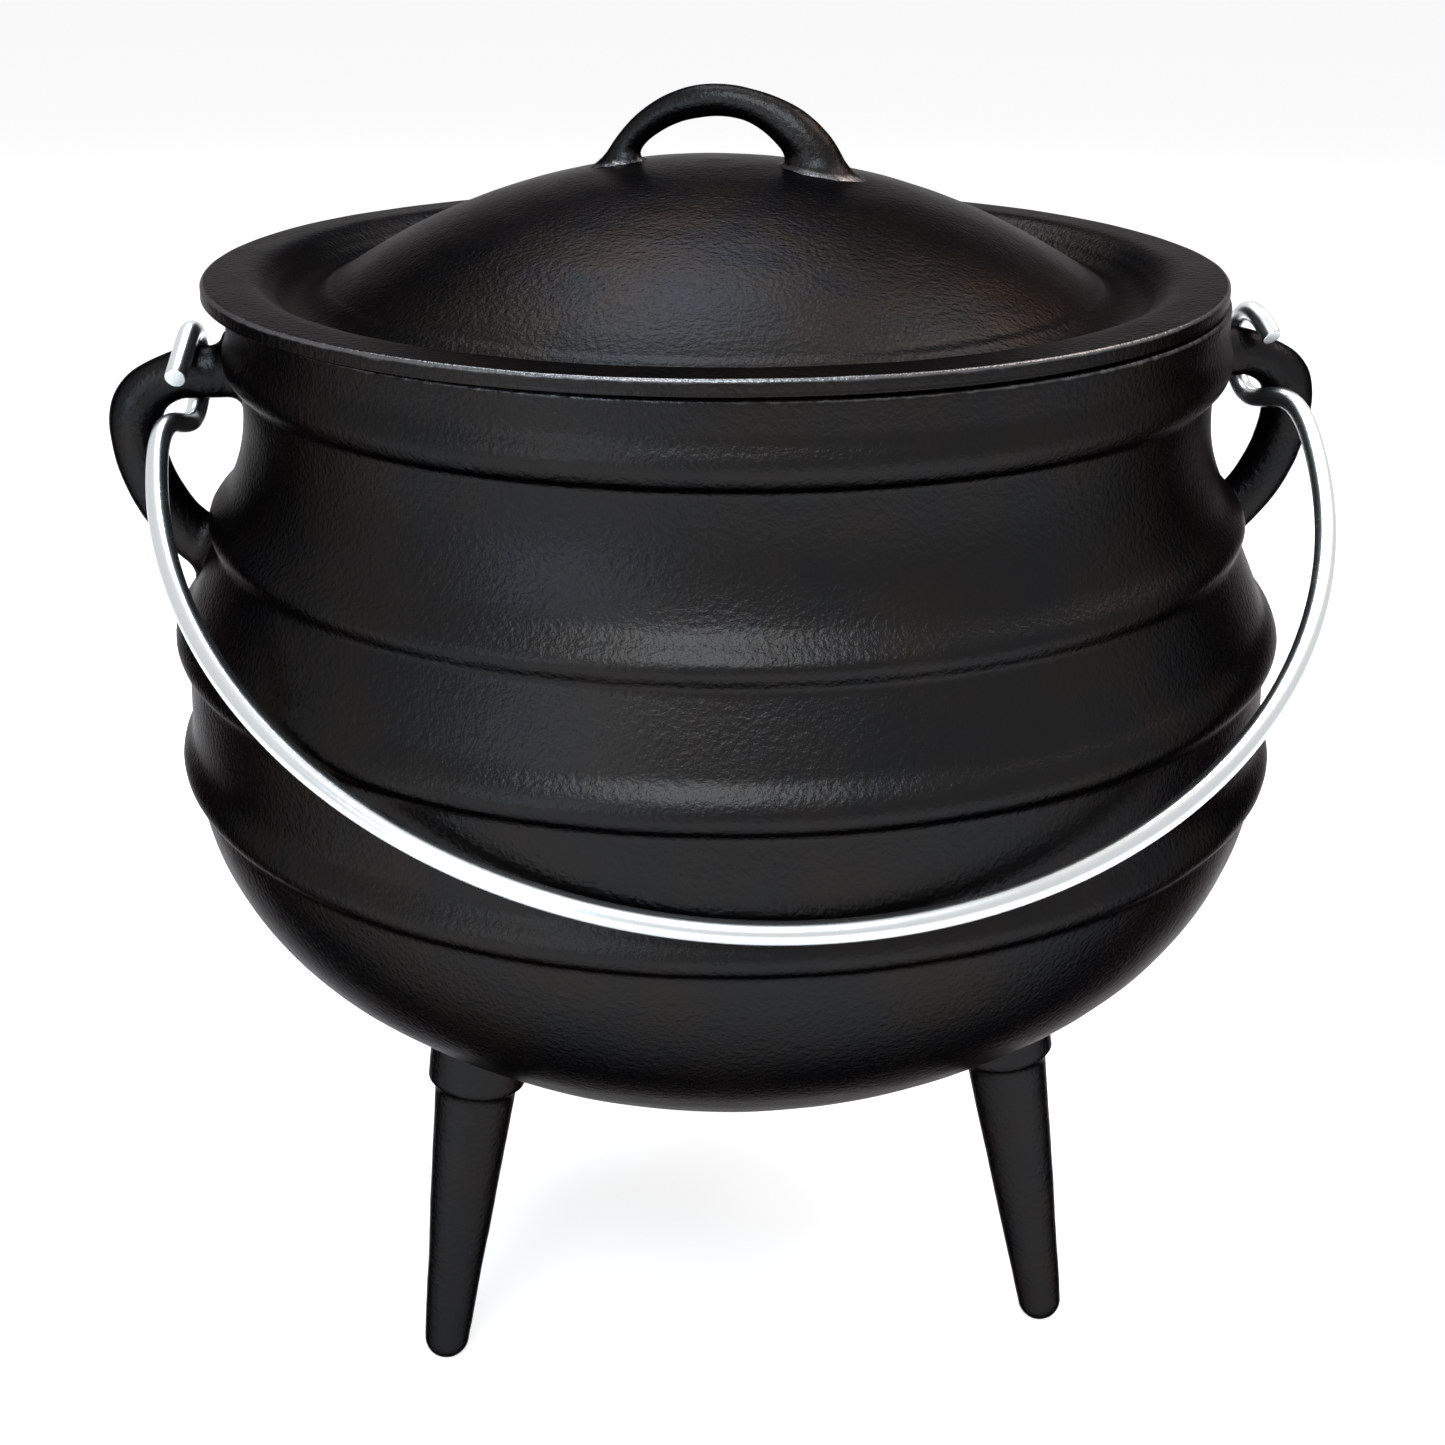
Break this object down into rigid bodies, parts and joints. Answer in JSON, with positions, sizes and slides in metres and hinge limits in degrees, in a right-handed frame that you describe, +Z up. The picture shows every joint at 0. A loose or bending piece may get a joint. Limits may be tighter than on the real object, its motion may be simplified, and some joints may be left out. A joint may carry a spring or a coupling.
{
  "type": "potjie pot",
  "caption": "Round-bellied three-legged cast-iron cooking pot with ribs and loop ears, a domed lid with a ring handle, and a swinging wire bail.",
  "frame": {"origin": "on the ground, on the pot's own axis, at the centre of the circle that the three feet stand on", "axes": "+Z up; the two ears and the axis that the bail turns on lie along X; the bail rests towards -Y, the front of the picture"},
  "size_m": [0.369, 0.3436, 0.3965],
  "materials": {
    "pot_iron": "satin black, fine sand-cast grain",
    "lid_iron": "satin black, fine sand-cast grain",
    "bail_wire": "bright zinc-plated wire"
  },
  "bodies": {
    "pot": {"pot": "pot_iron", "lid": "lid_iron"},
    "bail": {"bail": "bail_wire"}
  },
  "joints": [
    {"name": "bail_swing", "type": "hinge", "parent": "pot", "child": "bail", "pos_m": [0, 0, 0.316], "axis": [-1, 0, 0], "range_deg": [0, 240]}
  ]
}
